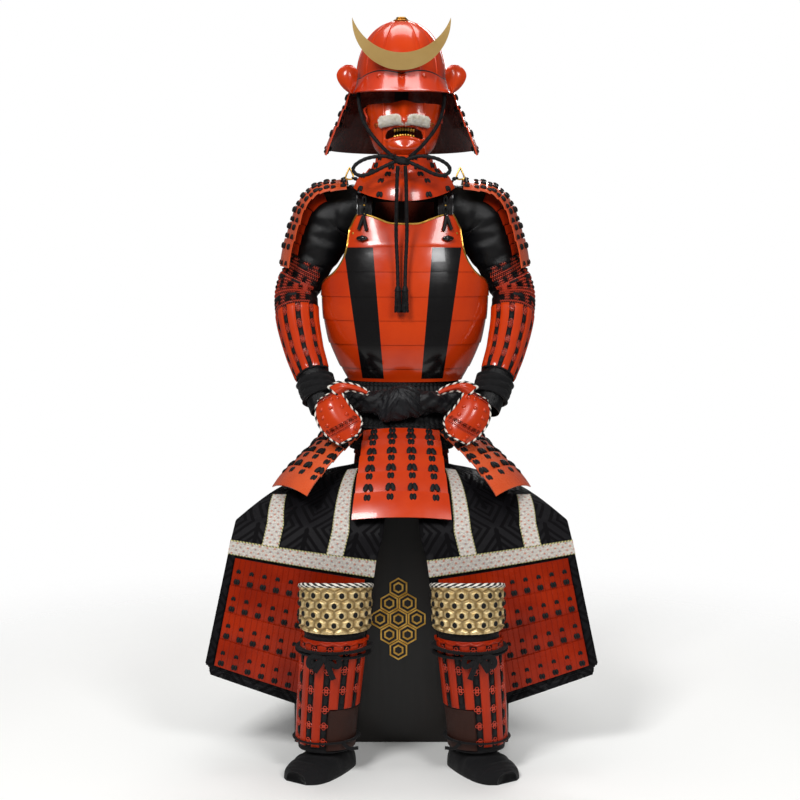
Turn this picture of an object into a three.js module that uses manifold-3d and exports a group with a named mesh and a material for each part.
// A suit of samurai armour seated on its black lacquered chest, in millimetres, +Z up.
// The front of the suit faces -Y. Left and right are as seen from the front: left is at -X.
// Every paired piece is worked out for the left side and mirrored for the right side.
// The origin is on the floor, under the middle of the suit's bounding box.
import * as THREE from "three";
import { mergeVertices } from "three/addons/utils/BufferGeometryUtils.js";
import Module from "manifold-3d";

const wasm = await Module();
wasm.setup();

// The torso's upright axis is at y = 0 while the pieces are worked out. At the end the group is moved
// along Y so that its bounding box is centred on the origin.

const COLOUR = {
  vermilion: 0xc23312,
  innerRed: 0x4a1410,
  black: 0x0d0c0d,
  cloth: 0x15141a,
  gold: 0xc49a4a,
  brass: 0xb8924c,
  kneeGold: 0xb59a5e,
  brocade: 0xcfc8bd,
  fur: 0xe9e3d3,
};
const lacquer = { roughness: 0.22, metalness: 0.0 };
const fabric = { roughness: 0.85, metalness: 0.0 };
const metal = { roughness: 0.35, metalness: 0.9 };

const DEGREE = Math.PI / 180;
const suit = new THREE.Group();

// Named columns: each table row is an object, and `column` picks one of its values at t from 0 to 1,
// on a smooth curve through the rows.
function column(rows, key, t) {
  const last = rows.length - 1;
  const place = Math.min(Math.max(t, 0), 1) * last;
  const i = Math.min(Math.floor(place), last - 1);
  const f = place - i;
  const at = (k) => rows[Math.min(Math.max(k, 0), last)][key];
  const [a, b, c, d] = [at(i - 1), at(i), at(i + 1), at(i + 2)];
  return (
    b +
    0.5 * f * (c - a + f * (2 * a - 5 * b + 4 * c - d + f * (3 * (b - c) + d - a)))
  );
}

function mix(a, b, t) {
  return a + (b - a) * t;
}

function smoothstep(low, high, x) {
  const t = Math.min(Math.max((x - low) / (high - low), 0), 1);
  return t * t * (3 - 2 * t);
}

function signedPower(value, power) {
  return Math.sign(value) * Math.abs(value) ** power;
}

function steps(count) {
  return Array.from({ length: count + 1 }, (_, i) => i / count);
}

// The direction a surface faces at (u, v), from the differences to its neighbours.
const PROBE = 0.002;
function facing(form, u, v) {
  const alongU = form(u + PROBE, v).sub(form(u - PROBE, v));
  const alongV = form(u, v + PROBE).sub(form(u, v - PROBE));
  return alongU.cross(alongV).normalize();
}

// The same surface moved out along its own facing direction.
function movedOut(form, distance, turn = 1) {
  return (u, v) => form(u, v).addScaledVector(facing(form, u, v), distance * turn);
}

function geometryOf(triangles) {
  const geometry = new THREE.BufferGeometry();
  const flat = triangles.flat().flatMap((p) => [p.x, p.y, p.z]);
  geometry.setAttribute("position", new THREE.Float32BufferAttribute(flat, 3));
  let volume = 0;
  for (const [a, b, c] of triangles) volume += a.dot(b.clone().cross(c));
  return volume < 0 ? turnedInsideOut(geometry) : geometry;
}

function turnedInsideOut(geometry) {
  const p = geometry.attributes.position.array;
  for (let i = 0; i < p.length; i += 9)
    for (let k = 0; k < 3; k += 1) [p[i + 3 + k], p[i + 6 + k]] = [p[i + 6 + k], p[i + 3 + k]];
  return geometry;
}

function mirrored(geometry) {
  return turnedInsideOut(geometry.clone().scale(-1, 1, 1));
}

// A wall: the surface `form` at the given us and vs, with its outer points raised by `relief` and a
// plain inside `thickness` behind it. A closed wall joins its last column to its first.
function wall({ us, vs, form, thickness, relief = () => 0, closed = false, turn = 1 }) {
  const columns = closed ? us.slice(0, -1) : us;
  const outer = columns.map((u) =>
    vs.map((v) => form(u, v).addScaledVector(facing(form, u, v), turn * relief(u, v))),
  );
  const inner = columns.map((u) =>
    vs.map((v) => form(u, v).addScaledVector(facing(form, u, v), -turn * thickness)),
  );
  const triangles = [];
  const quad = (a, b, c, d) => triangles.push([a, b, c], [a, c, d]);
  const count = columns.length;
  const spans = closed ? count : count - 1;
  for (let i = 0; i < spans; i += 1) {
    const n = (i + 1) % count;
    for (let j = 0; j < vs.length - 1; j += 1) {
      quad(outer[i][j], outer[n][j], outer[n][j + 1], outer[i][j + 1]);
      quad(inner[i][j], inner[i][j + 1], inner[n][j + 1], inner[n][j]);
    }
    const top = vs.length - 1;
    quad(inner[i][0], inner[n][0], outer[n][0], outer[i][0]);
    quad(outer[i][top], outer[n][top], inner[n][top], inner[i][top]);
  }
  if (!closed)
    for (let j = 0; j < vs.length - 1; j += 1) {
      const end = count - 1;
      quad(inner[0][j], outer[0][j], outer[0][j + 1], inner[0][j + 1]);
      quad(outer[end][j], inner[end][j], inner[end][j + 1], outer[end][j + 1]);
    }
  return geometryOf(triangles);
}

// A solid lofted through rings of points, with a flat fan at each end.
function loft(rings) {
  const triangles = [];
  const count = rings[0].length;
  const middle = (ring) =>
    ring.reduce((sum, p) => sum.add(p), new THREE.Vector3()).divideScalar(count);
  for (let i = 0; i < count; i += 1) {
    const n = (i + 1) % count;
    for (let j = 0; j < rings.length - 1; j += 1) {
      triangles.push([rings[j][i], rings[j][n], rings[j + 1][n]]);
      triangles.push([rings[j][i], rings[j + 1][n], rings[j + 1][i]]);
    }
    triangles.push([middle(rings[0]), rings[0][n], rings[0][i]]);
    const end = rings[rings.length - 1];
    triangles.push([middle(end), end[i], end[n]]);
  }
  return geometryOf(triangles);
}

// A cord: a round section carried along a curve.
const CORD_SIDES = 6;
function cordAlong(points, radius, count) {
  const curve = new THREE.CatmullRomCurve3(points);
  const section = new THREE.Shape();
  section.absarc(0, 0, radius, 0, 2 * Math.PI, false);
  return new THREE.ExtrudeGeometry(section, {
    steps: count,
    curveSegments: CORD_SIDES / 2,
    extrudePath: curve,
    bevelEnabled: false,
  });
}

const WELD = 1e-3;
const SHORT_EDGE = 0.02;
function manifoldOf(geometry) {
  const plain = geometry.index ? geometry.toNonIndexed() : geometry.clone();
  plain.deleteAttribute("normal");
  plain.deleteAttribute("uv");
  const merged = mergeVertices(plain, WELD);
  return new wasm.Manifold(
    new wasm.Mesh({
      numProp: 3,
      vertProperties: merged.attributes.position.array,
      triVerts: new Uint32Array(merged.index.array),
    }),
  );
}

// The largest body of a boolean's result. Slivers under a cubic millimetre are dropped.
const SLIVER = 1;
function geometryFrom(solid) {
  const bodies = solid.simplify(SHORT_EDGE).decompose();
  const kept = bodies.filter((body) => Math.abs(body.volume()) > SLIVER);
  const mesh = wasm.Manifold.compose(kept).getMesh();
  const geometry = new THREE.BufferGeometry();
  geometry.setAttribute("position", new THREE.BufferAttribute(mesh.vertProperties, 3));
  geometry.setIndex(new THREE.BufferAttribute(mesh.triVerts, 1));
  return geometry.toNonIndexed();
}

function joined(...geometries) {
  return geometryFrom(geometries.map(manifoldOf).reduce((whole, piece) => whole.add(piece)));
}

function cut(geometry, ...tools) {
  return geometryFrom(
    tools.map(manifoldOf).reduce((left, tool) => left.subtract(tool), manifoldOf(geometry)),
  );
}

// A cut that keeps only the largest body, for a piece that ends on the surface that it is seated on.
function trimmed(geometry, ...tools) {
  const left = tools.map(manifoldOf).reduce((rest, tool) => rest.subtract(tool), manifoldOf(geometry));
  const bodies = left.decompose().sort((a, b) => b.volume() - a.volume());
  return geometryFrom(bodies[0]);
}

function block(width, depth, height, x, y, z) {
  return new THREE.BoxGeometry(width, depth, height).translate(x, y, z + height / 2);
}

function add(name, geometry, color, finish, shift = 0) {
  const material = new THREE.MeshStandardMaterial({ color, ...finish });
  const mesh = new THREE.Mesh(geometry.translate(shift, 0, 0), material);
  mesh.name = name;
  suit.add(mesh);
}

// The upper body sits a little to the right of the middle, as in a suit that was dressed by hand.
const UPPER_BODY_X = 8;
const HAND_X = 3;
const MASK_X = 6;

function addPair(name, geometry, color, finish, shift = 0) {
  add(`${name}_left`, geometry.clone().translate(shift, 0, 0), color, finish);
  add(`${name}_right`, mirrored(geometry).translate(shift, 0, 0), color, finish);
}

// The chest that the suit sits on: an open box and a lid that fits over it like a cap.
const CHEST = { width: 488, depth: 430, front: -200, height: 510, wall: 9 };
const LID = { height: 72, wall: 9, slack: 0.5, gap: 0.3 };
const LID_TOP = CHEST.height + LID.gap + LID.wall;
const CHEST_Y = CHEST.front + CHEST.depth / 2;

function roundedBlock(width, depth, height, corner, z) {
  const [w, d] = [width / 2, depth / 2];
  const outline = new THREE.Shape();
  outline.moveTo(-w + corner, -d);
  outline.absarc(w - corner, -d + corner, corner, -Math.PI / 2, 0, false);
  outline.absarc(w - corner, d - corner, corner, 0, Math.PI / 2, false);
  outline.absarc(-w + corner, d - corner, corner, Math.PI / 2, Math.PI, false);
  outline.absarc(-w + corner, -d + corner, corner, Math.PI, 1.5 * Math.PI, false);
  return new THREE.ExtrudeGeometry(outline, {
    depth: height,
    curveSegments: 3,
    bevelEnabled: false,
  }).translate(0, CHEST_Y, z);
}

function chestBody() {
  const shell = roundedBlock(CHEST.width, CHEST.depth, CHEST.height, 6, 0);
  const inside = block(
    CHEST.width - 2 * CHEST.wall,
    CHEST.depth - 2 * CHEST.wall,
    CHEST.height,
    0,
    CHEST_Y,
    CHEST.wall,
  );
  return cut(shell, inside);
}

function chestLid() {
  const grown = 2 * (LID.wall + LID.slack);
  const shell = roundedBlock(
    CHEST.width + grown,
    CHEST.depth + grown,
    LID.height,
    10,
    LID_TOP - LID.height,
  );
  const inside = block(
    CHEST.width + 2 * LID.slack,
    CHEST.depth + 2 * LID.slack,
    LID.height,
    0,
    CHEST_Y,
    LID_TOP - LID.height - LID.wall,
  );
  return cut(shell, inside);
}

// The helmet bowl is a pumpkin of riveted plates: a wide front plate and twelve narrower ones, with a
// raised rib at each seam. Its outline is a superellipse from the rim to the crown.
const BOWL = { halfWidth: 103, halfDepth: 122, y: -22, rim: 1497, height: 138, power: 2.15, wall: 2.5 };
const FRONT_PLATE = 48 * DEGREE;
const NARROW_PLATES = 12;
const RIB = { height: 2.4, bulge: 2.2 };
const CROWN_HOLE = 0.93;

function bowlSeams() {
  const step = (2 * Math.PI - FRONT_PLATE) / NARROW_PLATES;
  return Array.from({ length: NARROW_PLATES + 1 }, (_, i) => FRONT_PLATE / 2 + i * step);
}

// u is the share of a turn from the middle of the front, v goes from the rim to the crown.
function bowlForm(u, v, grow = 0) {
  const turn = u * 2 * Math.PI;
  const climb = (v * Math.PI) / 2;
  const radius = signedPower(Math.cos(climb), 2 / BOWL.power);
  const rise = signedPower(Math.sin(climb), 2 / BOWL.power);
  return new THREE.Vector3(
    (BOWL.halfWidth + grow) * radius * Math.sin(turn),
    BOWL.y - (BOWL.halfDepth + grow) * radius * Math.cos(turn),
    BOWL.rim + (BOWL.height + grow) * rise,
  );
}

// The bowl's wall, or with `grow` and `depth` a thicker copy of it that trims what is seated on it.
function bowlWall(grow = 0, depth = BOWL.wall) {
  const seams = bowlSeams().map((a) => a / (2 * Math.PI));
  const us = [];
  seams.forEach((seam, i) => {
    us.push(seam);
    if (i < seams.length - 1) us.push((seam + seams[i + 1]) / 2);
  });
  us.push(1, 1 + seams[0]);
  const relief = (u) => {
    const onSeam = seams.some((s) => Math.abs(s - u) < 1e-6 || Math.abs(s + 1 - u) < 1e-6);
    return (onSeam ? RIB.height : RIB.bulge / 2) + grow;
  };
  const vs = [0, 0.14, 0.32, 0.52, 0.74, CROWN_HOLE];
  return wall({ us, vs, form: bowlForm, thickness: depth, relief, closed: true });
}

const SEAT_GAP = 0.3;
function helmetBowl() {
  return bowlWall();
}

function bowlInsideHeight(radius) {
  const share = radius / (BOWL.halfWidth - BOWL.wall);
  return (
    BOWL.rim + (BOWL.height - BOWL.wall) * (1 - share ** BOWL.power) ** (1 / BOWL.power)
  );
}

// The gilt crown fitting is a turned collar that fills the hole at the top of the bowl.
function helmetCrown() {
  const seat = bowlForm(0, CROWN_HOLE, 0).z + RIB.height;
  const profile = [
    [0, seat + 0.6],
    [15, seat + 0.6],
    [16, seat + 3],
    [13, seat + 5],
    [12, seat + 10],
    [0, seat + 10],
  ].map(([radius, z]) => new THREE.Vector2(radius, z));
  return new THREE.LatheGeometry(profile, 12)
    .rotateX(Math.PI / 2)
    .translate(0, BOWL.y, 0);
}

// The peak: a curved brim on the front of the bowl, with a brow line of two arches along its top.
const PEAK = { spread: 76 * DEGREE, top: 1509, drop: 45, reach: 44, brow: 10, wall: 2.5, clear: 5.4 };

function peakForm(u, v) {
  const turn = mix(-PEAK.spread, PEAK.spread, u);
  const side = Math.abs(2 * u - 1);
  const arch = Math.sin(Math.min(side * 1.35, 1) * Math.PI) * PEAK.brow;
  const z = mix(PEAK.top - PEAK.drop + 6 * side, PEAK.top + arch - 6 * side, v);
  const lift = Math.max(z - BOWL.rim, 0) / BOWL.height;
  const shrink = (1 - lift ** BOWL.power) ** (1 / BOWL.power);
  const out = PEAK.clear + PEAK.reach * Math.max(1 - v, 0) ** 1.15 * Math.cos(turn * 0.9);
  return new THREE.Vector3(
    (BOWL.halfWidth * shrink + out * 0.6 + PEAK.clear * 0.4) * Math.sin(turn),
    BOWL.y - (BOWL.halfDepth * shrink + out) * Math.cos(turn),
    z,
  );
}

function helmetPeak() {
  return wall({ us: steps(16), vs: [0, 0.3, 0.65, 1], form: peakForm, thickness: PEAK.wall });
}

// The crest is a crescent cut from brass plate. It stands in front of the bowl on a short tongue.
const CREST = { y: -178, z: 1510, halfSpan: 108, outerDepth: 113, innerDepth: 75, plate: 2.4, lean: 4 };

function helmetCrest() {
  const arc = (depth) => {
    const radius = (CREST.halfSpan ** 2 + depth ** 2) / (2 * depth);
    return { radius, half: Math.asin(Math.min(CREST.halfSpan / radius, 1)), past: depth > radius };
  };
  const line = (depth, count) => {
    const { radius, half, past } = arc(depth);
    const reach = past ? Math.PI - half : half;
    return steps(count).map((t) => {
      const a = mix(-reach, reach, t);
      return new THREE.Vector2(radius * Math.sin(a), radius * (1 - Math.cos(a)));
    });
  };
  const outer = line(CREST.outerDepth, 16);
  const rise = CREST.outerDepth - CREST.innerDepth;
  const inner = line(CREST.innerDepth, 12)
    .map((p) => new THREE.Vector2(p.x, p.y + rise))
    .slice(1, -1)
    .reverse();
  const crescent = new THREE.ExtrudeGeometry(new THREE.Shape([...outer, ...inner]), {
    depth: CREST.plate,
    bevelEnabled: false,
  })
    .rotateX(Math.PI / 2 + CREST.lean * DEGREE)
    .translate(0, CREST.y, CREST.z);
  const tongue = block(16, 60, 9, 0, CREST.y + 28.5, CREST.z + 4);
  return trimmed(joined(crescent, tongue), bowlWall(SEAT_GAP, 40), grownPeak());
}

function grownPeak() {
  return wall({
    us: steps(16),
    vs: [0, 0.3, 0.65, 1],
    form: movedOut(peakForm, 0.5),
    thickness: PEAK.wall + 1,
  });
}

// Louvres: on laced armour the top edge of each lame stands in front of the lame above it. `lames`
// lists where each lame begins and ends, as shares of the whole, counted from the top.
const LAP = { proud: 3.6, flush: 0.6, step: 0.004 };

function louvreRows(lames) {
  return lames.flatMap((edge, i) => {
    if (i === 0) return [edge];
    if (i === lames.length - 1) return [edge];
    return [edge - LAP.step, edge + LAP.step];
  });
}

function louvreRelief(lames) {
  return (share) => {
    const i = lames.findLastIndex((edge) => share > edge - 1e-9);
    const k = Math.min(Math.max(i, 0), lames.length - 2);
    const along = (share - lames[k]) / (lames[k + 1] - lames[k]);
    const last = k === lames.length - 2;
    const below = last ? LAP.flush + 1.6 : LAP.flush;
    return mix(LAP.proud, below, Math.min(Math.max(along, 0), 1));
  };
}

// A louvred wall whose lames run down from v = 1 at the top to v = 0 at the lower edge.
function louvred({ us, lames, form, thickness, turn = 1 }) {
  const relief = louvreRelief(lames);
  return wall({
    us,
    vs: louvreRows(lames).map((share) => 1 - share).reverse(),
    form,
    thickness,
    relief: (u, v) => relief(1 - v),
    turn,
  });
}

// The neck guard flares down round the back of the helmet from temple to temple.
const NECK_GUARD = { spread: 104 * DEGREE, y: -22, wall: 2, tip: 17 };
const NECK_LAMES = [0, 0.2, 0.42, 0.65, 1];
const NECK_SECTIONS = [
  { halfWidth: 176, halfDepth: 200, z: 1348 },
  { halfWidth: 152, halfDepth: 172, z: 1400 },
  { halfWidth: 128, halfDepth: 146, z: 1452 },
  { halfWidth: 107, halfDepth: 126, z: 1505 },
];

function neckForm(u, v) {
  const turn = mix(NECK_GUARD.spread, -NECK_GUARD.spread, u);
  const end = smoothstep(0.8, 1, Math.abs(2 * u - 1));
  const low = (1 - v) ** 2;
  return new THREE.Vector3(
    column(NECK_SECTIONS, "halfWidth", v) * Math.sin(turn),
    NECK_GUARD.y + column(NECK_SECTIONS, "halfDepth", v) * Math.cos(turn),
    column(NECK_SECTIONS, "z", v) - NECK_GUARD.tip * end * low,
  );
}

function neckGuard() {
  const guard = louvred({
    us: steps(12),
    lames: NECK_LAMES,
    form: neckForm,
    thickness: NECK_GUARD.wall,
  });
  return trimmed(guard, bowlWall(SEAT_GAP, 40));
}

// The ears: the front ends of the neck guard's top lame, turned back and outwards as round leaves.
// Each row gives a level and where the leaf's outer and inner edges are.
const EAR = { wall: 3, y: -96, bulge: 11, lean: 10 };
const EAR_ROWS = [
  { z: 1468, outer: -115, inner: -112 },
  { z: 1479, outer: -131, inner: -105 },
  { z: 1494, outer: -143, inner: -100 },
  { z: 1509, outer: -147, inner: -98 },
  { z: 1522, outer: -140, inner: -101 },
  { z: 1531, outer: -127, inner: -112 },
];

function earForm(u, v) {
  const across = 2 * u - 1;
  return new THREE.Vector3(
    mix(column(EAR_ROWS, "outer", v), column(EAR_ROWS, "inner", v), u),
    EAR.y - EAR.bulge * (1 - across * across) + EAR.lean * (2 * v - 1) ** 2,
    column(EAR_ROWS, "z", v),
  );
}

function helmetEar() {
  const leaf = wall({ us: steps(4), vs: steps(6), form: earForm, thickness: EAR.wall });
  return cut(leaf, grownPeak());
}

// The mask covers the face from the nose to the chin: a shell with a nose, cheek folds and an open
// mouth. u runs across from ear to ear and v from the chin up to the cheekbones.
const MASK = { wall: 2.4, spread: 88 * DEGREE, y: -52 };
const MASK_SECTIONS = [
  { halfWidth: 52, depth: 58, z: 1330 },
  { halfWidth: 68, depth: 76, z: 1348 },
  { halfWidth: 78, depth: 74, z: 1372 },
  { halfWidth: 84, depth: 74, z: 1396 },
  { halfWidth: 86, depth: 72, z: 1420 },
  { halfWidth: 86, depth: 68, z: 1444 },
];
const MASK_US = [0, 0.13, 0.27, 0.38, 0.44, 0.5, 0.56, 0.62, 0.73, 0.87, 1];
const MASK_VS = [0, 0.1, 0.22, 0.34, 0.46, 0.54, 0.6, 0.66, 0.76, 1];
const NOSE = { width: 0.13, from: 0.52, tip: 0.66, height: 27 };

function maskForm(u, v) {
  const turn = mix(-MASK.spread, MASK.spread, u);
  const across = 2 * u - 1;
  const bridge = Math.exp(-((across / NOSE.width) ** 2));
  const under = smoothstep(NOSE.from, NOSE.tip, v);
  const nose = NOSE.height * bridge * under * mix(1, 0.45, smoothstep(NOSE.tip, 1, v));
  const cheek = 7 * Math.exp(-(((Math.abs(across) - 0.42) / 0.16) ** 2) - ((v - 0.72) / 0.2) ** 2);
  const chin = 8 * Math.exp(-((across / 0.22) ** 2) - ((v - 0.12) / 0.1) ** 2);
  const brow = 26 * Math.max(0, v - 0.8) * Math.exp(-((across / 0.14) ** 2));
  const depth = column(MASK_SECTIONS, "depth", v) + nose + cheek + chin;
  return new THREE.Vector3(
    column(MASK_SECTIONS, "halfWidth", v) * Math.sin(turn),
    MASK.y - depth * signedPower(Math.cos(turn), 0.9),
    column(MASK_SECTIONS, "z", v) + brow,
  );
}

const MOUTH = { halfWidth: 36, top: 1391, bottom: 1369, droop: 8 };
function mouthHole() {
  const outline = new THREE.Shape();
  outline.moveTo(-MOUTH.halfWidth, MOUTH.bottom - MOUTH.droop);
  outline.quadraticCurveTo(0, MOUTH.bottom + 5, MOUTH.halfWidth, MOUTH.bottom - MOUTH.droop);
  outline.quadraticCurveTo(MOUTH.halfWidth + 6, MOUTH.top - 8, MOUTH.halfWidth - 12, MOUTH.top - 2);
  outline.quadraticCurveTo(0, MOUTH.top + 4, -MOUTH.halfWidth + 12, MOUTH.top - 2);
  outline.quadraticCurveTo(-MOUTH.halfWidth - 6, MOUTH.top - 8, -MOUTH.halfWidth, MOUTH.bottom - MOUTH.droop);
  return new THREE.ExtrudeGeometry(outline, { depth: 90, curveSegments: 4, bevelEnabled: false })
    .rotateX(Math.PI / 2)
    .translate(0, -90, 0);
}

function faceMask() {
  const shell = wall({ us: MASK_US, vs: MASK_VS, form: maskForm, thickness: MASK.wall });
  return cut(shell, mouthHole());
}

// The moustache: two tufts of white hair that meet under the nose.
const MOUSTACHE = { halfLength: 56, level: 1406, sag: 4, middle: 8, end: 12, depth: 9, clear: 1.2 };
function moustache() {
  const rings = steps(8).map((t) => {
    const x = mix(-MOUSTACHE.halfLength, MOUSTACHE.halfLength, t);
    const side = Math.abs(2 * t - 1);
    const u = 0.5 + Math.asin(x / column(MASK_SECTIONS, "halfWidth", 0.66)) / (2 * MASK.spread);
    const nose = maskForm(0.5, 0.66).y - maskForm(0.42, 0.66).y;
    const front = maskForm(u, 0.66).y + Math.min(nose, 0) * (side < 0.2 ? 0.25 : 0);
    const tall = mix(MOUSTACHE.middle, MOUSTACHE.end, smoothstep(0.05, 0.8, side)) * (t % 1 ? 1 : 0.8);
    const centreZ = MOUSTACHE.level - MOUSTACHE.sag * side ** 2;
    return steps(8).slice(1).map((s) => {
      const a = s * 2 * Math.PI;
      return new THREE.Vector3(
        x,
        front - MOUSTACHE.depth - MOUSTACHE.clear + MOUSTACHE.depth * Math.cos(a),
        centreZ + tall * Math.sin(a),
      );
    });
  });
  return cut(loft(rings), grownMask());
}

// The mask's wall and the small gap behind it, which trims the stand's arm that carries it.
function seatedMask() {
  return wall({ us: MASK_US, vs: MASK_VS, form: maskForm, thickness: MASK.wall + SEAT_GAP });
}

function grownMask() {
  return wall({
    us: MASK_US,
    vs: MASK_VS,
    form: movedOut(maskForm, 0.6),
    thickness: MASK.wall + 20,
  });
}

// The throat guard: four lames hung from the mask, each wider than the one above.
const THROAT = { spread: 64 * DEGREE, y: -6, wall: 2, dip: 36 };
const THROAT_LAMES = [0, 0.2, 0.38, 0.55, 1];
const THROAT_SECTIONS = [
  { halfWidth: 127, depth: 146, z: 1261 },
  { halfWidth: 110, depth: 134, z: 1284 },
  { halfWidth: 82, depth: 110, z: 1304 },
  { halfWidth: 66, depth: 103, z: 1329.2 },
];

function throatForm(u, v) {
  const turn = mix(-THROAT.spread, THROAT.spread, u);
  const dip = THROAT.dip * Math.cos(turn * 1.3) * (1 - v);
  return new THREE.Vector3(
    column(THROAT_SECTIONS, "halfWidth", v) * Math.sin(turn),
    THROAT.y - column(THROAT_SECTIONS, "depth", v) * Math.cos(turn),
    column(THROAT_SECTIONS, "z", v) - dip,
  );
}

function throatGuard() {
  return louvred({ us: steps(10), lames: THROAT_LAMES, form: throatForm, thickness: THROAT.wall });
}

// The helmet cord comes down both cheeks, is tied in a bow under the chin and hangs in two tails.
const CHIN_CORD = { radius: 4.2, y: -172 };
const CORD_DOWN_CHEEK = [
  { x: -91, y: -74.6, z: 1495.6 },
  { x: -97, y: -80, z: 1468 },
  { x: -95, y: -89, z: 1442 },
  { x: -88, y: -102, z: 1412 },
  { x: -80, y: -114, z: 1394 },
  { x: -65, y: -128, z: 1371 },
  { x: -45, y: -142, z: 1347 },
  { x: -30, y: -158, z: 1332 },
  { x: -18, y: -168, z: 1322 },
];
const BOW_LOOP = [
  { x: -12, y: -172, z: 1316 },
  { x: -40, y: -176, z: 1323 },
  { x: -76, y: -176, z: 1318 },
  { x: -101, y: -172, z: 1305 },
  { x: -107, y: -170, z: 1291 },
  { x: -94, y: -170, z: 1281 },
  { x: -72, y: -174, z: 1284 },
  { x: -40, y: -180, z: 1299 },
  { x: -12, y: -176, z: 1312 },
];
const CORD_TAIL = [
  { x: -8, y: -182, z: 1301.5 },
  { x: -10, y: -178, z: 1270 },
  { x: -11, y: -172, z: 1215 },
  { x: -12, y: -158, z: 1150 },
  { x: -9, y: -157, z: 1080 },
  { x: -8, y: -160, z: 1035 },
];
const points = (rows) => rows.map(({ x, y, z }) => new THREE.Vector3(x, y, z));

function bow() {
  const loop = cordAlong(points(BOW_LOOP), CHIN_CORD.radius, 16);
  const knot = new THREE.SphereGeometry(1, 10, 7).scale(17, 11, 12).translate(0, -177, 1313);
  return joined(loop, mirrored(loop), knot);
}

// A tassel: strands that stand apart below a bound head.
const TASSEL = { strands: 8, spread: 7, length: 46, strand: 2.2 };
function tassel() {
  const end = CORD_TAIL[CORD_TAIL.length - 1];
  const head = new THREE.CylinderGeometry(5, 8, 16, 8).rotateX(Math.PI / 2);
  head.translate(end.x, end.y, end.z - 8.4);
  const strands = Array.from({ length: TASSEL.strands }, (_, i) => {
    const a = (i / TASSEL.strands) * 2 * Math.PI;
    const strand = new THREE.CylinderGeometry(TASSEL.strand * 0.7, TASSEL.strand, TASSEL.length, 4);
    return strand
      .rotateX(Math.PI / 2)
      .translate(
        end.x + Math.cos(a) * TASSEL.spread * 0.8,
        end.y + Math.sin(a) * TASSEL.spread * 0.8,
        end.z - 15 - TASSEL.length / 2,
      );
  });
  return joined(head, ...strands);
}

// The cuirass is a barrel in two shells. Each row gives its level, half-width across the hips, half-width
// of the cut panel, and depth of the front and of the back shell.
const CUIRASS = { wall: 2.5, roundness: 0.84, sideGap: 0.2 };
const CUIRASS_ROWS = [
  { z: 816, barrel: 131, panel: 131, front: 106, back: 96 },
  { z: 847, barrel: 151, panel: 151, front: 119, back: 106 },
  { z: 902, barrel: 177, panel: 177, front: 132, back: 118 },
  { z: 957, barrel: 190, panel: 190, front: 138, back: 124 },
  { z: 1011, barrel: 195, panel: 195, front: 140, back: 128 },
  { z: 1044, barrel: 195, panel: 190, front: 138, back: 128 },
  { z: 1067, barrel: 194, panel: 158, front: 136, back: 127 },
  { z: 1095, barrel: 190, panel: 140, front: 132, back: 125 },
  { z: 1123, barrel: 184, panel: 131, front: 128, back: 122 },
];
// The chest plate above the last seam rises to the neckline and rounds off into the armholes.
const CHEST_PLATE = { barrel: 176, panel: 126, front: 113, back: 104 };
const NECKLINE = [
  { z: 1175 },
  { z: 1177 },
  { z: 1187 },
  { z: 1195 },
  { z: 1197 },
  { z: 1165 },
];
const BACK_NECKLINE = [
  { z: 1246 },
  { z: 1246 },
  { z: 1246 },
  { z: 1244 },
  { z: 1228 },
  { z: 1170 },
];
const SEAM_LEVELS = [847, 902, 957, 1011, 1067, 1123];
const SEAM = { groove: 1.1, step: 2.2 };

// One row's value at level z, straight between the rows of the table.
function atLevel(rows, key, z) {
  const i = Math.min(Math.max(rows.findIndex((row) => row.z > z) - 1, 0), rows.length - 2);
  const k = z >= rows[rows.length - 1].z ? rows.length - 2 : i;
  const t = Math.min(Math.max((z - rows[k].z) / (rows[k + 1].z - rows[k].z), 0), 1);
  return mix(rows[k][key], rows[k + 1][key], t);
}

// v counts the level: up to 1 the barrel's table, and from 1 to 2 the plate above its top row.
function cuirassForm(depthKey, neckline, side) {
  const top = CUIRASS_ROWS[CUIRASS_ROWS.length - 1];
  const bottom = CUIRASS_ROWS[0];
  return (u, v) => {
    const across = 2 * u - 1;
    const above = Math.max(v - 1, 0);
    const level = mix(bottom.z, top.z, Math.min(v, 1));
    const crest = column(neckline, "z", Math.min(Math.abs(across), 1));
    const z = v > 1 ? mix(top.z, crest, above) : level;
    const pick = (key) =>
      v > 1 ? mix(top[key], CHEST_PLATE[key], above) : atLevel(CUIRASS_ROWS, key, level);
    const barrel = pick("barrel");
    const widest = Math.asin(Math.min(pick("panel") / barrel, 1) ** (1 / CUIRASS.roundness));
    const turn = across * widest;
    const y = -pick(depthKey) * Math.abs(Math.cos(turn)) ** CUIRASS.roundness - CUIRASS.sideGap;
    return new THREE.Vector3(barrel * signedPower(Math.sin(turn), CUIRASS.roundness), side * y, z);
  };
}

function cuirassLevels() {
  const [low, high] = [CUIRASS_ROWS[0].z, CUIRASS_ROWS[CUIRASS_ROWS.length - 1].z];
  const share = (z) => (z - low) / (high - low);
  const rows = SEAM_LEVELS.flatMap((z) => [share(z - SEAM.step), share(z)]);
  return [0, ...rows, share(1044), share(1095), 1.35, 1.7, 2].sort((a, b) => a - b);
}

function cuirassRelief(u, v) {
  const [low, high] = [CUIRASS_ROWS[0].z, CUIRASS_ROWS[CUIRASS_ROWS.length - 1].z];
  const z = mix(low, high, v);
  const below = SEAM_LEVELS.some((seam) => Math.abs(z - (seam - SEAM.step)) < 0.1);
  return below ? 0 : SEAM.groove;
}

const cuirassFront = cuirassForm("front", NECKLINE, 1);
const cuirassBack = cuirassForm("back", BACK_NECKLINE, -1);

function cuirassShell(form, turn) {
  const us = [0, 0.06, 0.19, 0.34, 0.5, 0.66, 0.81, 0.94, 1];
  return wall({
    us,
    vs: cuirassLevels(),
    form,
    thickness: CUIRASS.wall,
    relief: cuirassRelief,
    turn,
  });
}

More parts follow.
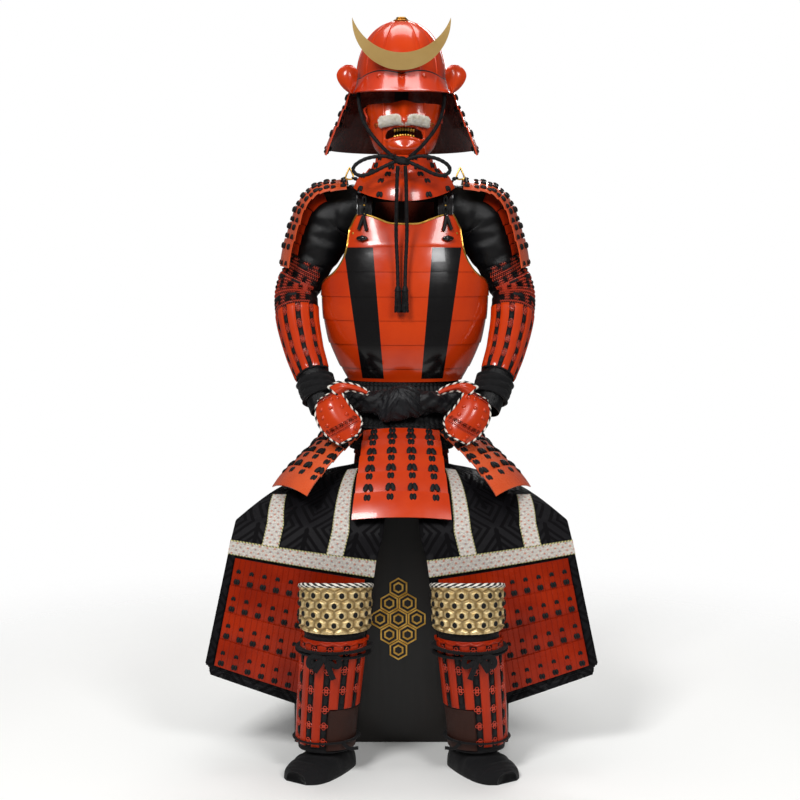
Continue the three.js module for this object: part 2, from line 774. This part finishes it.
// The shoulder straps run over the sleeves from the back shell to the top of the chest plate.
const STRAP = { x: -92, halfWidth: 19, plate: 3.5 };
const STRAP_LINE = [
  { y: -104, z: 1192.8 },
  { y: -96, z: 1222 },
  { y: -68, z: 1248 },
  { y: -30, z: 1263.2 },
  { y: 6, z: 1268.3 },
  { y: 42, z: 1262.3 },
  { y: 74, z: 1252 },
  { y: 95, z: 1243.6 },
];

function strapForm(u, v) {
  return new THREE.Vector3(
    STRAP.x + mix(-STRAP.halfWidth, STRAP.halfWidth, u) * mix(0.86, 1, Math.sin(v * Math.PI)),
    column(STRAP_LINE, "y", v),
    column(STRAP_LINE, "z", v) + STRAP.plate,
  );
}

function shoulderStrap() {
  return wall({ us: steps(2), vs: steps(10), form: strapForm, thickness: STRAP.plate });
}

// The waist lacing hangs the skirt of tassets from the cuirass. It is a band of upright cords.
const LACING_ROWS = [
  { halfWidth: 160, front: 171, back: 151, z: 714 },
  { halfWidth: 145, front: 146, back: 127, z: 748 },
  { halfWidth: 135, front: 123, back: 109, z: 782 },
  { halfWidth: 129, front: 106, back: 96, z: 815.2 },
];
const LACING = { wall: 3 };

function lacingForm(u, v) {
  const turn = u * 2 * Math.PI;
  const front = Math.cos(turn) > 0 ? "front" : "back";
  return new THREE.Vector3(
    column(LACING_ROWS, "halfWidth", v) * Math.sin(turn),
    -column(LACING_ROWS, front, v) * Math.cos(turn),
    column(LACING_ROWS, "z", v),
  );
}

// The belt is a sash rolled like a rope, with an overhand knot in front.
const BELT = { z: 773, halfWidth: 168, front: 165, back: 146, radius: 27, twist: 3, turns: 14 };

function belt() {
  const [around, sides] = [32, 8];
  const rings = steps(around).slice(1).map((t) => {
    const turn = t * 2 * Math.PI;
    const depth = Math.cos(turn) > 0 ? BELT.front : BELT.back;
    const centre = new THREE.Vector3(BELT.halfWidth * Math.sin(turn), -depth * Math.cos(turn), BELT.z);
    const out = new THREE.Vector3(Math.sin(turn), -Math.cos(turn), 0);
    return steps(sides).slice(1).map((s) => {
      const a = s * 2 * Math.PI;
      const radius = BELT.radius + BELT.twist * Math.cos(2 * a + BELT.turns * turn);
      return centre
        .clone()
        .addScaledVector(out, radius * Math.cos(a))
        .add(new THREE.Vector3(0, 0, radius * Math.sin(a)));
    });
  });
  const triangles = [];
  for (let j = 0; j < rings.length; j += 1) {
    const n = (j + 1) % rings.length;
    for (let i = 0; i < sides; i += 1) {
      const k = (i + 1) % sides;
      triangles.push([rings[j][i], rings[j][k], rings[n][k]]);
      triangles.push([rings[j][i], rings[n][k], rings[n][i]]);
    }
  }
  const knot = new THREE.SphereGeometry(1, 10, 7).scale(54, 26, 44);
  knot.rotateY(-18 * DEGREE).translate(-4, -BELT.front - 8, BELT.z + 1);
  return joined(geometryOf(triangles), knot);
}

// Tassets: laced flaps of five lames. Each row gives the middle of the flap's top and foot, the
// direction across it, in degrees from +X, its half-widths and how far it is rounded across.
const TASSET_LAMES = [0, 0.13, 0.32, 0.52, 0.74, 1];
const TASSET = { wall: 2, bow: 0.16 };
const TASSETS = {
  front: { top: [0, -171, 713.2], foot: [0, -330, 541], across: 0, topHalf: 84, footHalf: 108, round: 10 },
  front_left: { top: [-123, -112, 713.3], foot: [-253, -262, 598], across: -57, topHalf: 58, footHalf: 78, round: 14 },
  side_left: { top: [-160, 12, 713.2], foot: [-300, 22, 506], across: -92, topHalf: 66, footHalf: 84, round: 18 },
  back_left: { top: [-56, 142, 710.2], foot: [-72, 284, 500], across: 174, topHalf: 46, footHalf: 58, round: 8 },
};

function tassetForm({ top, foot, across, topHalf, footHalf, round }) {
  const [head, toe] = [new THREE.Vector3(...top), new THREE.Vector3(...foot)];
  const sideways = new THREE.Vector3(Math.cos(across * DEGREE), Math.sin(across * DEGREE), 0);
  const down = toe.clone().sub(head);
  const out = sideways.clone().cross(down).normalize();
  if (out.z < 0) out.negate();
  return (u, v) => {
    const share = 1 - v;
    const a = 2 * u - 1;
    return head
      .clone()
      .addScaledVector(down, share)
      .addScaledVector(sideways, a * mix(topHalf, footHalf, share))
      .addScaledVector(out, -round * a * a + TASSET.bow * down.length() * share * (1 - share));
  };
}

function tasset(name) {
  const form = tassetForm(TASSETS[name]);
  const middle = facing(form, 0.5, 0.5);
  const turn = middle.z > 0 ? 1 : -1;
  return louvred({ us: steps(4), lames: TASSET_LAMES, form, thickness: TASSET.wall, turn });
}

// Shoulder guards: seven lames that curve over the shoulder and down the outside of the arm.
const SHOULDER_LAMES = [0, 0.15, 0.27, 0.4, 0.53, 0.66, 0.79, 1];
const SHOULDER = { wall: 2, y: 4, halfWidth: 104, round: 26 };
const SHOULDER_LINE = [
  { x: -134, z: 1277.8 },
  { x: -178, z: 1273.8 },
  { x: -216, z: 1260.8 },
  { x: -247, z: 1226 },
  { x: -265, z: 1180 },
  { x: -279.9, z: 1130 },
  { x: -290, z: 1080 },
];

function shoulderForm(u, v) {
  const t = 1 - v;
  const step = 0.01;
  const at = (s) =>
    new THREE.Vector3(column(SHOULDER_LINE, "x", s), 0, column(SHOULDER_LINE, "z", s));
  const along = at(Math.min(t + step, 1)).sub(at(Math.max(t - step, 0))).normalize();
  const out = new THREE.Vector3(along.z, 0, -along.x);
  const across = 2 * u - 1;
  return at(t)
    .addScaledVector(out, -SHOULDER.round * across * across)
    .add(new THREE.Vector3(0, SHOULDER.y - SHOULDER.halfWidth * across, 0));
}

function shoulderGuard() {
  const turn = facing(shoulderForm, 0.5, 0.5).x < 0 ? 1 : -1;
  return louvred({
    us: steps(4),
    lames: SHOULDER_LAMES,
    form: shoulderForm,
    thickness: SHOULDER.wall,
    turn,
  });
}

// The sleeve: an open tube from the neck side of the strap, down the bent arm to the wrist. Each row
// gives its centre, its half-width across the arm and its half-width from front to back.
const SLEEVE_ROWS = [
  { x: -70, y: 0, z: 1206, across: 62, along: 62 },
  { x: -128, y: 0, z: 1206, across: 63, along: 63 },
  { x: -178, y: 0, z: 1190, across: 66, along: 63 },
  { x: -198, y: 2, z: 1138, across: 68, along: 62 },
  { x: -222, y: 4, z: 1080, across: 51, along: 58 },
  { x: -249, y: 2, z: 1022, across: 50, along: 54 },
  { x: -247, y: -26, z: 960, across: 48, along: 50 },
  { x: -230, y: -74, z: 892, across: 43, along: 45 },
  { x: -210, y: -120, z: 838, across: 38, along: 39 },
  { x: -183, y: -172.2, z: 757, across: 30, along: 31 },
];
const SLEEVE = { wall: 2.2 };

function sleeveCentre(v) {
  return new THREE.Vector3(
    column(SLEEVE_ROWS, "x", v),
    column(SLEEVE_ROWS, "y", v),
    column(SLEEVE_ROWS, "z", v),
  );
}

// u = 0 is the front of the sleeve, and it goes round by the outside.
function sleeveForm(u, v) {
  const step = 0.02;
  const along = sleeveCentre(Math.min(v + step, 1)).sub(sleeveCentre(Math.max(v - step, 0)));
  along.normalize();
  const outward = new THREE.Vector3(0, 1, 0).cross(along).normalize();
  const frontward = outward.clone().cross(along).normalize();
  const a = u * 2 * Math.PI;
  return sleeveCentre(v)
    .addScaledVector(frontward, column(SLEEVE_ROWS, "along", v) * Math.cos(a))
    .addScaledVector(outward, column(SLEEVE_ROWS, "across", v) * Math.sin(a));
}

const sleeveTurn = (() => {
  const out = sleeveForm(0.25, 0.5).sub(sleeveCentre(0.5));
  return Math.sign(facing(sleeveForm, 0.25, 0.5).dot(out));
})();

const SLEEVE_US = steps(10);
const SLEEVE_VS = [0, 0.12, 0.21, 0.28, 0.36, 0.44, 0.52, 0.6, 0.7, 0.8, 0.9, 1];

function sleeve() {
  return wall({
    us: SLEEVE_US,
    vs: SLEEVE_VS,
    form: sleeveForm,
    thickness: SLEEVE.wall,
    closed: true,
    turn: sleeveTurn,
  });
}

// The arm guard lies on the sleeve: plates on the outside of the upper arm, mail over the elbow and
// long splints on the forearm, all joined where they meet.
const ARM_GUARD = { lift: 2.8, wall: 2, raised: 2.6, slot: 0.14 };
const ARM_PARTS = {
  plates: { from: 2, to: 5, vs: [0.28, 0.36, 0.44], split: false, raised: true },
  mail: { from: -1, to: 4, vs: [0.43, 0.44, 0.52, 0.6, 0.61], split: false, raised: false },
  splints: { from: -2, to: 3, vs: [0.6, 0.7, 0.8, 0.9], split: true, raised: true },
};

function armPart({ from, to, vs, split, raised }) {
  const sides = SLEEVE_US.length - 1;
  const us = [];
  for (let k = from; k < to; k += 1) {
    us.push(k / sides);
    if (split) us.push((k + 1 - 2 * ARM_GUARD.slot) / sides, (k + 1 - ARM_GUARD.slot) / sides);
  }
  us.push(to / sides);
  const inSlot = (u) => {
    const place = u * sides - from;
    return Math.abs(place - Math.floor(place + 1e-6) - (1 - ARM_GUARD.slot)) < 0.02;
  };
  return wall({
    us,
    vs,
    form: movedOut(sleeveForm, ARM_GUARD.lift, sleeveTurn),
    thickness: ARM_GUARD.wall,
    relief: (u) => (raised && !(split && inSlot(u)) ? ARM_GUARD.raised : 0),
    turn: sleeveTurn,
  });
}

function armGuard() {
  return joined(...Object.values(ARM_PARTS).map(armPart));
}

// The hand guard: a plate over the back of the hand and a second one over the thumb. Each row gives
// the two edges of a plate, from the wrist to the tips, and how far forward its middle stands.
const HAND = { wall: 2.6 };
const HAND_ROWS = [
  { leftX: -184, leftZ: 783, rightX: -143, rightZ: 810, edgeY: -196, bulge: 12 },
  { leftX: -192, leftZ: 757, rightX: -131, rightZ: 797, edgeY: -206, bulge: 18 },
  { leftX: -184, leftZ: 728, rightX: -112, rightZ: 770, edgeY: -216, bulge: 20 },
  { leftX: -162, leftZ: 702, rightX: -88, rightZ: 742, edgeY: -226, bulge: 18 },
  { leftX: -137, leftZ: 688, rightX: -96, rightZ: 711, edgeY: -236, bulge: 12 },
];
const THUMB_ROWS = [
  { leftX: -138, leftZ: 792, rightX: -164, rightZ: 812, edgeY: -204, bulge: 10 },
  { leftX: -118, leftZ: 806, rightX: -139, rightZ: 823, edgeY: -206, bulge: 12 },
  { leftX: -96, leftZ: 803, rightX: -100, rightZ: 817, edgeY: -210, bulge: 10 },
  { leftX: -76, leftZ: 797, rightX: -72, rightZ: 802, edgeY: -214, bulge: 8 },
];

function plateForm(rows) {
  return (u, v) =>
    new THREE.Vector3(
      mix(column(rows, "leftX", v), column(rows, "rightX", v), u) - HAND_X,
      column(rows, "edgeY", v) - column(rows, "bulge", v) * Math.sin(Math.PI * u),
      mix(column(rows, "leftZ", v), column(rows, "rightZ", v), u),
    );
}

function handPlate(rows, us, vs) {
  const form = plateForm(rows);
  const turn = facing(form, 0.5, 0.5).y < 0 ? 1 : -1;
  return wall({ us, vs, form, thickness: HAND.wall, turn });
}

function handGuard() {
  return joined(
    handPlate(HAND_ROWS, steps(6), steps(6)),
    handPlate(THUMB_ROWS, steps(4), steps(5)),
  );
}

// The wrist wrap: a bundled band of cloth round the end of the sleeve.
function wristWrap() {
  const vs = [0.914, 0.936, 0.958];
  return wall({
    us: SLEEVE_US,
    vs,
    form: movedOut(sleeveForm, 7, sleeveTurn),
    thickness: 6.2,
    relief: (u, v) => (v === vs[1] ? 3 : 0),
    closed: true,
    turn: sleeveTurn,
  });
}

// The thigh guard is an apron in two leg panels. Three lines are carried from the inner edge (u = 0) to
// the outer edge (u = 1): the waist, the line where the cloth bends over the lap, and the hem.
const APRON = { wall: 2.6, belly: 12 };
const APRON_LINES = {
  waist: { inner: [-16, -186, 663.6], outer: [-188, -120, 612], bow: 12 },
  lap: { inner: [-40, -322, 500], outer: [-366, -262, 524], bow: 16 },
  band: { inner: [-54, -330, 447], outer: [-374, -290, 484], bow: 12 },
  hem: { inner: [-104, -326, 84], outer: [-434, -318, 196], bow: 6 },
};
const APRON_SHARE = { lap: 0.28, band: 0.35 };
const APRON_CORNER = { size: 14, from: 0.05 };

function apronLine({ inner, outer, bow }, u) {
  const p = new THREE.Vector3(...inner).lerp(new THREE.Vector3(...outer), u);
  p.y -= bow * Math.sin(Math.PI * u) * 0.6;
  return p;
}

// v runs from the hem up to the waist, so that the wall faces forwards.
function apronForm(u, v) {
  const t = 1 - v;
  const { lap, band } = APRON_SHARE;
  const at = (line) => apronLine(APRON_LINES[line], 1 - u);
  const p = new THREE.Vector3();
  if (t < lap) {
    p.copy(at("waist")).lerp(at("lap"), t / lap);
    p.z += 26 * Math.sin((Math.PI * t) / lap) * (1 - 0.4 * (1 - u));
  } else if (t < band) p.copy(at("lap")).lerp(at("band"), (t - lap) / (band - lap));
  else p.copy(at("band")).lerp(at("hem"), (t - band) / (1 - band));
  const corner = smoothstep(0, 1, 1 - u / APRON_CORNER.from) * smoothstep(0, 1, 1 - v / APRON_CORNER.from);
  p.x += corner * APRON_CORNER.size;
  p.z += corner * APRON_CORNER.size;
  return p;
}

const APRON_US = [0, 0.06, 0.16, 0.27, 0.38, 0.56, 0.72, 0.86, 0.94, 1];
const APRON_VS = [0, 0.05, 0.18, 0.31, 0.44, 0.575, 0.62, 0.65, 0.72, 0.79, 0.86, 0.93, 1];

function thighCloth() {
  return wall({ us: APRON_US, vs: APRON_VS, form: apronForm, thickness: APRON.wall });
}

// The scale rows of the thigh guard: four louvred rows sewn on the cloth below the brocade band.
const SCALES = { from: 0.05, to: 0.57, lift: 2.8, wall: 2 };
function thighScales() {
  const shares = [0, 0.25, 0.5, 0.75, 1];
  const form = movedOut(apronForm, SCALES.lift);
  const mapped = (u, v) => form(u, mix(SCALES.from, SCALES.to, v));
  return louvred({
    us: APRON_US.slice(1, -1),
    lames: shares,
    form: mapped,
    thickness: SCALES.wall,
  });
}

// Brocade ribbon: one band across the panel and two that climb from it towards the waist. `lean` is
// how far a climbing ribbon drifts towards the outer edge on its way up.
const RIBBON = { lift: 4.8, wall: 1.8, low: 0.583, top: 0.65 };
const CLIMBING = {
  outer: { from: 0.22, to: 0.335, lean: 1.6, vs: [0.64, 0.72, 0.79, 0.82] },
  inner: { from: 0.66, to: 0.775, lean: 0.6, vs: [0.64, 0.72, 0.79, 0.86, 0.93] },
};

function brocade() {
  const strip = (us, vs, lean) => {
    const leaning = (u, v) => apronForm(u - lean * Math.max(v - (1 - APRON_SHARE.lap), 0), v);
    return wall({ us, vs, form: movedOut(leaning, RIBBON.lift), thickness: RIBBON.wall });
  };
  const across = strip(APRON_US, [RIBBON.low, 0.62, RIBBON.top], 0);
  const climbs = Object.values(CLIMBING).map(({ from, to, lean, vs }) =>
    strip([from, (from + to) / 2, to], vs, lean),
  );
  return joined(across, ...climbs);
}

// The apron's waistband loops round the stand's post.
const WAISTBAND = { halfWidth: 120, y: -83.4, halfDepth: 105, low: 664, high: 690, wall: 3 };
function waistband() {
  const form = (u, v) => {
    const turn = u * 2 * Math.PI;
    return new THREE.Vector3(
      WAISTBAND.halfWidth * Math.sin(turn),
      WAISTBAND.y - WAISTBAND.halfDepth * Math.cos(turn),
      mix(WAISTBAND.low, WAISTBAND.high, v),
    );
  };
  return wall({ us: steps(20), vs: [0, 1], form, thickness: WAISTBAND.wall, closed: true });
}

// The shin guard's cloth: an upright tube that leans outwards at the foot.
const SHIN_ROWS = [
  { x: -163, y: -382, z: 51.8, across: 61, along: 53 },
  { x: -160, y: -388, z: 105, across: 61, along: 55 },
  { x: -155, y: -396, z: 165, across: 63, along: 58 },
  { x: -149, y: -404, z: 235, across: 65, along: 60 },
  { x: -142, y: -410, z: 303, across: 66, along: 62 },
  { x: -139, y: -412, z: 372, across: 67, along: 62 },
];
const SHIN = { wall: 2.6 };

function shinForm(u, v) {
  const turn = u * 2 * Math.PI;
  return new THREE.Vector3(
    column(SHIN_ROWS, "x", v) + column(SHIN_ROWS, "across", v) * Math.sin(turn),
    column(SHIN_ROWS, "y", v) - column(SHIN_ROWS, "along", v) * Math.cos(turn),
    column(SHIN_ROWS, "z", v),
  );
}

const SHIN_SIDES = 12;
const SHIN_VS = [0, 0.07, 0.2, 0.36, 0.57, 0.78, 0.85, 1];

function shinCloth() {
  return wall({
    us: steps(SHIN_SIDES),
    vs: SHIN_VS,
    form: shinForm,
    thickness: SHIN.wall,
    closed: true,
  });
}

// Shin splints: upright strips on one backing. The three outer ones are long and the inner ones short.
const SPLINTS = { lift: 2.4, wall: 1.9, raised: 2.6, long: 0.07, short: 0.36, top: 0.78 };
function shinSplints() {
  const strip = (from, to, low) => {
    const us = [];
    for (let k = from; k < to; k += 1) {
      us.push(k / SHIN_SIDES, (k + 0.68) / SHIN_SIDES, (k + 0.84) / SHIN_SIDES);
    }
    us.push(to / SHIN_SIDES);
    const relief = (u) => {
      const place = u * SHIN_SIDES - from;
      return Math.abs(place - Math.floor(place + 1e-6) - 0.84) < 0.05 ? 0 : SPLINTS.raised;
    };
    return wall({
      us,
      vs: SHIN_VS.filter((v) => v >= low && v <= SPLINTS.top),
      form: movedOut(shinForm, SPLINTS.lift),
      thickness: SPLINTS.wall,
      relief,
    });
  };
  return joined(strip(-3, 0, SPLINTS.long), strip(0, 3, SPLINTS.short));
}

// The knee guard: a quilted shield of raised hexagons above the splints.
const KNEE = {
  lift: 6,
  wall: 3.4,
  from: 0.85,
  bump: 3.6,
  low: 321,
  top: 426,
  share: 0.58,
  columns: 12,
  rows: 6,
};
function kneeForm(u, v) {
  const p = movedOut(shinForm, KNEE.lift)(u, mix(KNEE.from, 0.995, v));
  const across = (2 * u) / KNEE.share;
  const z = mix(KNEE.low, KNEE.top - 20 * across * across, v);
  return new THREE.Vector3(p.x, p.y - 5 * Math.sin(Math.PI * v), z);
}

function kneeGuard() {
  const us = Array.from({ length: KNEE.columns + 1 }, (_, i) => (i / KNEE.columns - 0.5) * KNEE.share);
  const vs = steps(KNEE.rows);
  const relief = (u, v) => {
    const i = Math.round((u / KNEE.share + 0.5) * KNEE.columns);
    const j = Math.round(v * KNEE.rows);
    const inside = i > 0 && i < KNEE.columns && j > 0 && j < KNEE.rows;
    return inside && j % 2 === 1 && (i + (j - 1) / 2) % 2 === 0 ? KNEE.bump : 0;
  };
  return wall({ us, vs, form: kneeForm, thickness: KNEE.wall, relief });
}

// The foot cover: a soft black shoe with a flat sole, turned outwards. Each row gives a distance from
// the heel to the toe, and the half-width and height there.
const FOOT = { turn: -34, wall: 3, heel: [-122, -322], sides: 10, corner: 0.7 };
const FOOT_ROWS = [
  { at: 0, half: 22, high: 32 },
  { at: 12, half: 38, high: 51 },
  { at: 54, half: 48, high: 53 },
  { at: 100, half: 54, high: 49 },
  { at: 140, half: 54, high: 38 },
  { at: 166, half: 45, high: 31 },
  { at: 180, half: 24, high: 22 },
];
const FOOT_OPENING = { radius: 34, at: 62, from: 30 };

function footPoint({ at, half, high }, angle, shrink) {
  const turn = FOOT.turn * DEGREE;
  const along = Math.min(Math.max(at, shrink), FOOT_ROWS[FOOT_ROWS.length - 1].at - shrink);
  const x = (half - shrink) * signedPower(Math.cos(angle), FOOT.corner);
  const z = Math.max((high - shrink) * signedPower(Math.sin(angle), FOOT.corner), shrink);
  return new THREE.Vector3(
    FOOT.heel[0] + along * Math.sin(turn) + x * Math.cos(turn),
    FOOT.heel[1] - along * Math.cos(turn) + x * Math.sin(turn),
    z,
  );
}

function foot() {
  const body = (shrink) =>
    loft(
      FOOT_ROWS.map((row) =>
        steps(FOOT.sides).slice(1).map((s) => footPoint(row, (s - 0.5 / FOOT.sides) * 2 * Math.PI, shrink)),
      ),
    );
  const turn = FOOT.turn * DEGREE;
  const opening = new THREE.CylinderGeometry(FOOT_OPENING.radius, FOOT_OPENING.radius, 60, 10)
    .rotateX(Math.PI / 2)
    .translate(
      FOOT.heel[0] + FOOT_OPENING.at * Math.sin(turn),
      FOOT.heel[1] - FOOT_OPENING.at * Math.cos(turn),
      FOOT_OPENING.from + 30,
    );
  return cut(body(0), body(FOOT.wall), opening);
}

// The stand: a post on a foot plate, with a shoulder bar inside the sleeves, a short arm behind the
// mask and a round pad under the helmet.
const STAND = { post: 32, gap: 0.4, padRadius: 42, bar: 292, barDrop: 9 };
function stand() {
  const floor = LID_TOP + STAND.gap;
  const padTop = bowlInsideHeight(STAND.padRadius + 1) - STAND.gap;
  const foot = block(220, 180, 18, 0, 0, floor);
  const post = block(STAND.post, STAND.post, padTop - 12 - floor, 0, 0, floor);
  const sleeveTop = SLEEVE_ROWS[1].z + SLEEVE_ROWS[1].along - SLEEVE.wall;
  const bar = block(STAND.bar, 24, 30, 0, 0, sleeveTop - 30 - STAND.barDrop);
  const arm = trimmed(block(18, 130, 18, MASK_X, -70, 1340), seatedMask().translate(MASK_X, 0, 0));
  const pad = new THREE.CylinderGeometry(STAND.padRadius, STAND.padRadius, 14, 16)
    .rotateX(Math.PI / 2)
    .translate(0, BOWL.y, padTop - 7);
  return joined(foot, post, bar, arm, pad);
}

add("chest_body", chestBody(), COLOUR.black, lacquer);
add("chest_lid", chestLid(), COLOUR.black, lacquer);
add("stand", stand(), COLOUR.black, lacquer);

add("helmet_bowl", helmetBowl(), COLOUR.vermilion, lacquer);
add("helmet_crown", helmetCrown(), COLOUR.gold, metal);
add("helmet_peak", helmetPeak(), COLOUR.vermilion, lacquer);
add("helmet_crest", helmetCrest(), COLOUR.brass, metal);
add("neck_guard", neckGuard(), COLOUR.innerRed, lacquer);
addPair("helmet_ear", helmetEar(), COLOUR.vermilion, lacquer);
add("face_mask", faceMask(), COLOUR.vermilion, lacquer, MASK_X);
add("moustache", moustache(), COLOUR.fur, fabric, MASK_X);
add("throat_guard", throatGuard(), COLOUR.vermilion, lacquer, MASK_X);

addPair("chin_cord", cordAlong(points(CORD_DOWN_CHEEK), CHIN_CORD.radius, 14), COLOUR.black, fabric);
add("chin_bow", bow(), COLOUR.black, fabric);
addPair("cord_tail", cordAlong(points(CORD_TAIL), CHIN_CORD.radius, 12), COLOUR.black, fabric);
addPair("cord_tassel", tassel(), COLOUR.black, fabric);

add("cuirass_front", cuirassShell(cuirassFront, 1), COLOUR.vermilion, lacquer, UPPER_BODY_X);
add("cuirass_back", cuirassShell(cuirassBack, -1), COLOUR.vermilion, lacquer, UPPER_BODY_X);
addPair("shoulder_strap", shoulderStrap(), COLOUR.black, lacquer, UPPER_BODY_X);
add(
  "waist_lacing",
  wall({ us: steps(20), vs: steps(2), form: lacingForm, thickness: LACING.wall, closed: true }),
  COLOUR.black,
  fabric,
);
add("belt", belt(), COLOUR.cloth, fabric);

add("tasset_front", tasset("front"), COLOUR.vermilion, lacquer);
addPair("tasset_forward", tasset("front_left"), COLOUR.vermilion, lacquer);
addPair("tasset_side", tasset("side_left"), COLOUR.vermilion, lacquer);
addPair("tasset_back", tasset("back_left"), COLOUR.vermilion, lacquer);

addPair("shoulder_guard", shoulderGuard(), COLOUR.vermilion, lacquer, UPPER_BODY_X);
addPair("sleeve", sleeve(), COLOUR.cloth, fabric, UPPER_BODY_X);
addPair("arm_guard", armGuard(), COLOUR.vermilion, lacquer, UPPER_BODY_X);
addPair("hand_guard", handGuard(), COLOUR.vermilion, lacquer, HAND_X);
addPair("wrist_wrap", wristWrap(), COLOUR.cloth, fabric, UPPER_BODY_X);

addPair("thigh_cloth", thighCloth(), COLOUR.cloth, fabric);
addPair("thigh_scales", thighScales(), COLOUR.vermilion, lacquer);
addPair("brocade", brocade(), COLOUR.brocade, fabric);
add("waistband", waistband(), COLOUR.cloth, fabric);

addPair("shin_cloth", shinCloth(), COLOUR.cloth, fabric);
addPair("shin_splints", shinSplints(), COLOUR.vermilion, lacquer);
addPair("knee_guard", kneeGuard(), COLOUR.kneeGold, fabric);
addPair("foot_cover", foot(), COLOUR.cloth, fabric);

const bounds = new THREE.Box3().setFromObject(suit);
suit.position.y = -(bounds.min.y + bounds.max.y) / 2;
export default suit;
